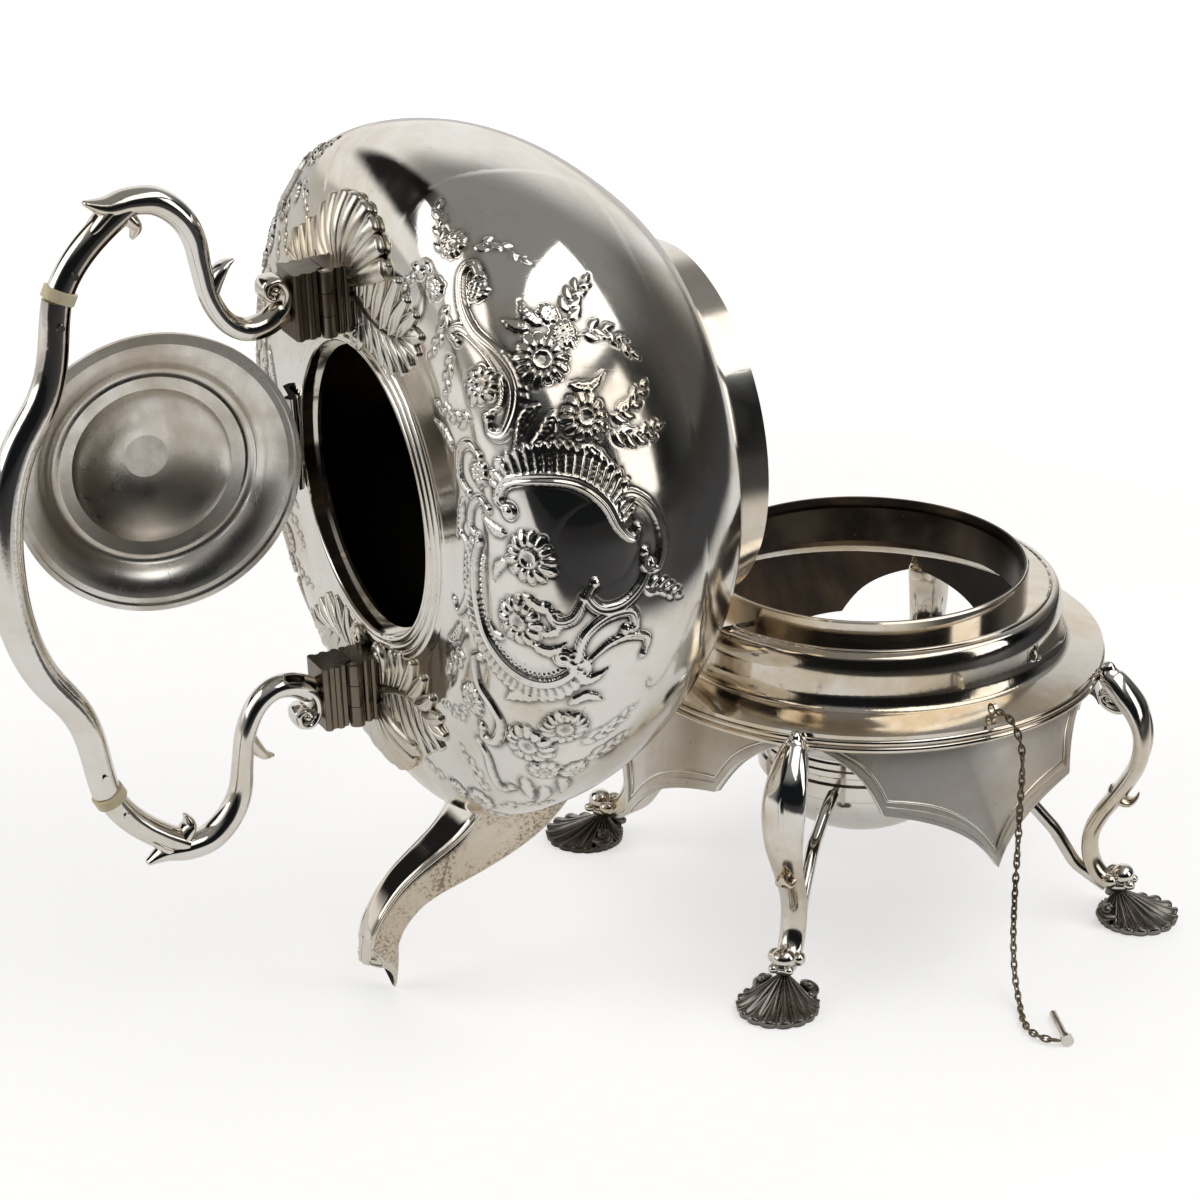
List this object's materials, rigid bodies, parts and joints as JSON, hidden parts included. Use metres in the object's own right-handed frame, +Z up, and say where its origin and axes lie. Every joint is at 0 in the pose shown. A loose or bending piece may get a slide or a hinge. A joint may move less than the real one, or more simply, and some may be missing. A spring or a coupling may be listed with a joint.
{
  "type": "spirit kettle on stand",
  "caption": "Round-bellied tipping kettle with scrolled spout, hinged lid and folding bail handle, on a four-legged shell-footed stand with a spirit burner.",
  "frame": {"origin": "on the floor plane under the middle of the stand's collar", "axes": "+Z up along the stand's axis, -X towards the spout, the tipping hinge runs along Y"},
  "size_m": [0.3912, 0.2423, 0.2869],
  "materials": {
    "silver_plate": "silver plate, polished, with warm tarnish",
    "oxidised_plate": "dark oxidised silver plate",
    "chain_metal": "dull worn plate",
    "insulator": "cream, polished",
    "wick_cotton": "woven cotton"
  },
  "bodies": {
    "stand": {"stand_body": "silver_plate", "collar": "silver_plate", "collar_sleeve": "oxidised_plate", "flange_reeds": "silver_plate", "apron_rear": "silver_plate", "apron_far": "silver_plate", "apron_front": "silver_plate", "apron_near": "silver_plate", "leg_rear_far": "silver_plate", "leg_front_far": "silver_plate", "leg_front_near": "silver_plate", "leg_rear_near": "silver_plate", "foot_rear_far": "oxidised_plate", "foot_front_far": "oxidised_plate", "foot_front_near": "oxidised_plate", "foot_rear_near": "oxidised_plate", "burner_rod_rear_far": "silver_plate", "burner_rod_front_far": "silver_plate", "burner_rod_front_near": "silver_plate", "burner_rod_rear_near": "silver_plate", "burner_ring": "silver_plate", "stand_hinge_leaf": "silver_plate", "chain_eyelet": "silver_plate", "pin_chain": "chain_metal", "loose_pin": "chain_metal"},
    "kettle": {"kettle_body": "silver_plate", "mouth_moulding": "silver_plate", "foot_ring": "silver_plate", "spout": "silver_plate", "mount_front": "silver_plate", "mount_rear": "silver_plate", "handle_seat_front": "silver_plate", "handle_seat_rear": "silver_plate", "handle_pin_front": "silver_plate", "handle_pin_rear": "silver_plate", "kettle_hinge_leaf": "silver_plate", "lid_hinge_seat": "silver_plate", "lid_pin": "silver_plate"},
    "lid": {"lid_shell": "silver_plate", "finial": "silver_plate", "lid_hinge_leaf": "silver_plate"},
    "handle": {"handle_leaf_front": "silver_plate", "handle_leaf_rear": "silver_plate", "handle_arm_front": "silver_plate", "handle_arm_rear": "silver_plate", "handle_socket_front": "silver_plate", "handle_socket_rear": "silver_plate", "ivory_ring_front": "insulator", "ivory_ring_rear": "insulator", "grip": "silver_plate", "handle_rivets": "silver_plate"},
    "front_pin": {"hinge_pin": "silver_plate"},
    "burner": {"burner_bowl": "silver_plate", "burner_cover": "silver_plate", "wick_tube": "silver_plate", "wick": "wick_cotton"},
    "snuffer": {"snuffer_cap": "silver_plate"}
  },
  "joints": [
    {"name": "kettle_tilt", "type": "hinge", "parent": "stand", "child": "kettle", "pos_m": [-0.0675, 0, 0.1137], "axis": [0, 1, 0], "range_deg": [0, 92.5]},
    {"name": "lid_hinge", "type": "hinge", "parent": "kettle", "child": "lid", "pos_m": [-0.18364, 0.0462, 0.17619], "axis": [-0.0436, 0, 0.999], "range_deg": [0, 98]},
    {"name": "handle_hinge", "type": "hinge", "parent": "kettle", "child": "handle", "pos_m": [-0.19023, -0.0065, 0.17591], "axis": [-0.0436, 0, 0.999], "range_deg": [0, 85]},
    {"name": "front_pin_draw", "type": "slide", "parent": "stand", "child": "front_pin", "axis": [0, 1, 0], "range_m": [0, 0.022]},
    {"name": "burner_lift", "type": "slide", "parent": "stand", "child": "burner", "axis": [0, 0, 1], "range_m": [0, 0.03]},
    {"name": "snuffer_lift", "type": "slide", "parent": "burner", "child": "snuffer", "axis": [0, 0, 1], "range_m": [0, 0.01]}
  ]
}
